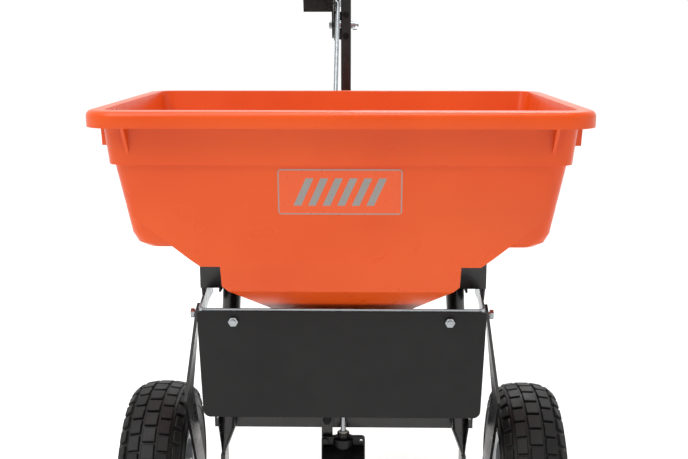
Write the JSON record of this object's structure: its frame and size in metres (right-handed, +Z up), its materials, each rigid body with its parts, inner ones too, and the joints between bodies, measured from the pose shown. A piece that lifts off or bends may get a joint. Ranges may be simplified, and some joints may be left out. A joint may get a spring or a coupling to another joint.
{
  "type": "tow behind broadcast spreader",
  "caption": "Tow-behind garden spreader: moulded hopper on a tube frame, wheel-driven gearbox and impeller, deflector, drawbar hitch and flow lever.",
  "frame": {"origin": "on the ground, at the middle of the machine's length and width", "axes": "+Z up, +X to the right seen from behind, +Y forward to the tractor, along the drawbar"},
  "size_m": [0.63, 1.141, 0.9665],
  "materials": {
    "moulded_hopper": "moulded, satin",
    "black_powder_coat": "gloss black powder coat",
    "black_plastic": "satin",
    "spinner_plastic": "moulded",
    "zinc_plate": "bright zinc plate",
    "nylon_bush": "nylon",
    "gearbox_casting": "die cast",
    "bare_steel": "drawn bar",
    "tyre_rubber": "moulded tread",
    "rim_paint": "silver paint"
  },
  "bodies": {
    "frame": {"hopper": "moulded_hopper", "right_rail": "black_powder_coat", "left_rail": "black_powder_coat", "right_leg": "black_powder_coat", "left_leg": "black_powder_coat", "upper_cross_brace": "black_powder_coat", "cross_member": "black_powder_coat", "frame_gusset": "black_powder_coat", "gearbox_hanger": "black_powder_coat", "shield": "black_plastic", "shield_strap": "zinc_plate", "right_brace": "black_powder_coat", "left_brace": "black_powder_coat", "axle_bushes": "nylon_bush", "gearbox_rear": "gearbox_casting", "gearbox_front": "gearbox_casting", "gearbox_bushes": "nylon_bush", "gearbox_bolts": "zinc_plate", "hopper_shaft_bush": "nylon_bush", "gate_guides": "zinc_plate", "drawbar": "black_powder_coat", "tube_caps": "black_plastic", "hitch_clevis": "black_powder_coat", "hitch_pin": "zinc_plate", "hair_pin": "zinc_plate", "stand_bracket": "black_powder_coat", "control_post": "black_powder_coat", "post_base": "black_powder_coat", "control_quadrant": "black_powder_coat", "lever_pivot": "zinc_plate", "hopper_fasteners": "zinc_plate", "frame_bolts": "zinc_plate", "shield_bolts": "zinc_plate", "drawbar_bolts": "zinc_plate"},
    "drive_axle": {"axle": "bare_steel", "bevel_gear": "bare_steel", "axle_washers": "zinc_plate", "cotter_pins": "zinc_plate", "drive_bolt": "zinc_plate", "right_tyre": "tyre_rubber", "right_rim_halves": "rim_paint", "right_hub": "rim_paint", "right_hub_bushes": "nylon_bush", "right_rim_bolts": "zinc_plate"},
    "left_wheel": {"left_tyre": "tyre_rubber", "left_rim_halves": "rim_paint", "left_hub": "rim_paint", "left_hub_bushes": "nylon_bush", "left_rim_bolts": "zinc_plate"},
    "spinner": {"impeller_shaft": "zinc_plate", "bevel_pinion": "bare_steel", "impeller": "spinner_plastic", "shaft_pins": "zinc_plate", "agitator": "spinner_plastic"},
    "gate": {"flow_gate": "zinc_plate", "control_rod": "zinc_plate"},
    "lever": {"control_arm": "black_powder_coat", "lever_grip": "black_plastic"},
    "stop": {"flow_stop": "zinc_plate"},
    "stand": {"parking_stand": "black_powder_coat"}
  },
  "joints": [
    {"name": "axle_drive", "type": "hinge", "parent": "frame", "child": "drive_axle", "pos_m": [0, -0.33, 0.133], "axis": [1, 0, 0], "continuous": true},
    {"name": "left_wheel_spin", "type": "hinge", "parent": "frame", "child": "left_wheel", "pos_m": [-0.262, -0.33, 0.133], "axis": [1, 0, 0], "continuous": true},
    {"name": "spinner_turn", "type": "hinge", "parent": "frame", "child": "spinner", "pos_m": [0, -0.33, 0.3], "axis": [0, 0, 1], "continuous": true},
    {"name": "flow_lever", "type": "hinge", "parent": "frame", "child": "lever", "pos_m": [-0.005, 0.23, 0.778], "axis": [-1, 0, 0], "range_deg": [0, 52]},
    {"name": "gate_slide", "type": "slide", "parent": "frame", "child": "gate", "axis": [0, 1, 0], "range_m": [0, 0.0396]},
    {"name": "flow_stop_set", "type": "hinge", "parent": "frame", "child": "stop", "pos_m": [-0.005, 0.23, 0.778], "axis": [-1, 0, 0], "range_deg": [-40, 0]},
    {"name": "stand_fold", "type": "hinge", "parent": "frame", "child": "stand", "pos_m": [0, 0.37, 0.209], "axis": [-1, 0, 0], "range_deg": [0, 90]}
  ],
  "couplings": [
    {"joint": "spinner_turn", "follows": "axle_drive", "ratio": -4},
    {"joint": "gate_slide", "follows": "flow_lever", "m_per_rad": 0.043523}
  ]
}
